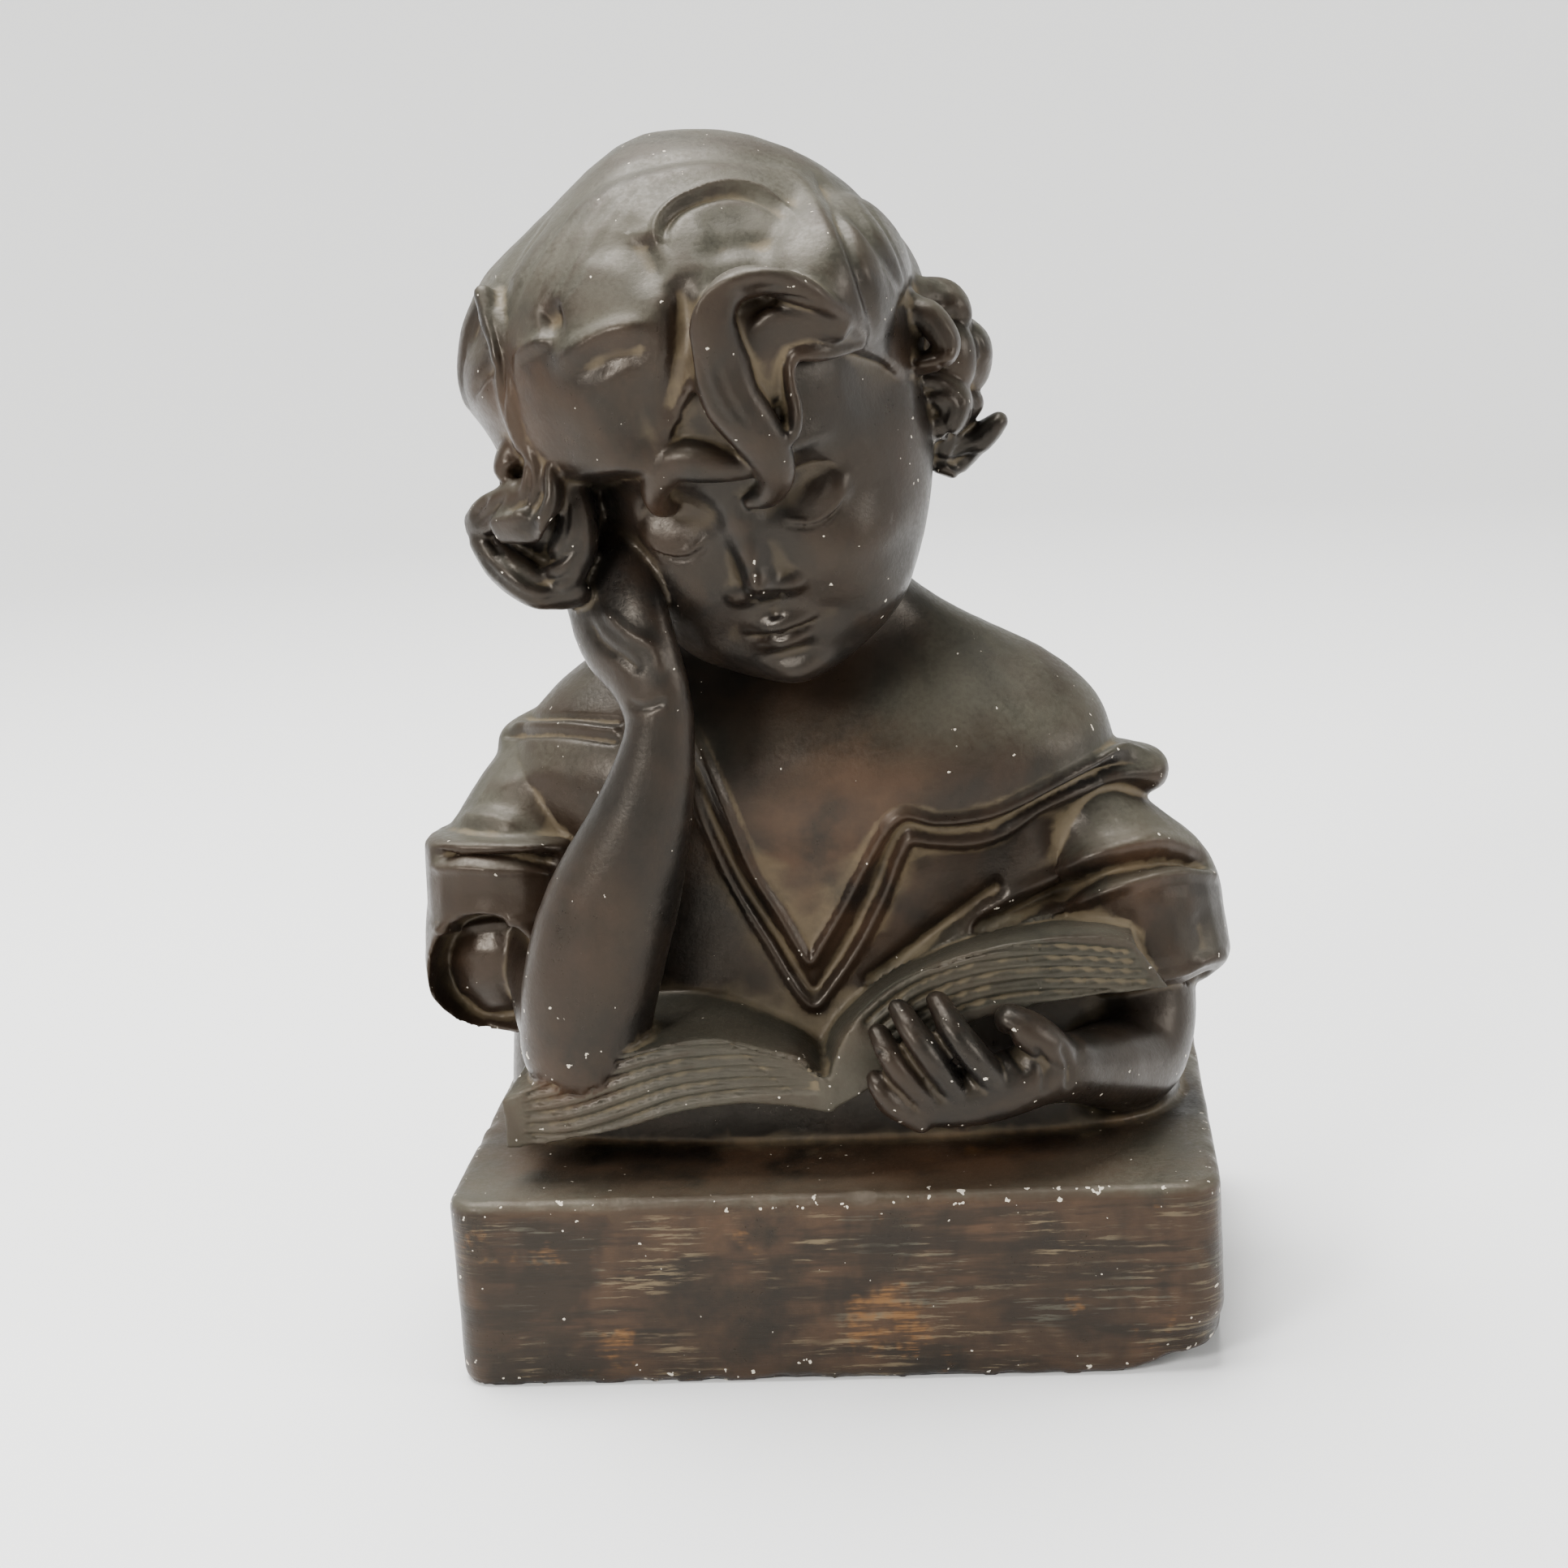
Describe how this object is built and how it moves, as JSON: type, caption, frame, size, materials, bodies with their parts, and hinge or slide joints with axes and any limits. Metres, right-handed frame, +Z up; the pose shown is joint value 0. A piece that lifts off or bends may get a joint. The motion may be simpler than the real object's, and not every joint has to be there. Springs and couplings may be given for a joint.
{
  "type": "reading girl bust",
  "caption": "Cast plaster bust of a child resting a cheek on one hand over an open book, on its own rounded block plinth, finished to look like old bronze.",
  "frame": {"origin": "centre of the plinth's underside, where the bust stands", "axes": "+X to the viewer's right, +Y away from the viewer towards the figure's back, +Z up"},
  "size_m": [0.1879, 0.1252, 0.2734],
  "materials": {
    "bronzed_plaster": "dark bronze paint over plaster, worn and dusty, satin"
  },
  "bodies": {
    "root": {"girl_reading_bust": "bronzed_plaster"}
  },
  "joints": []
}
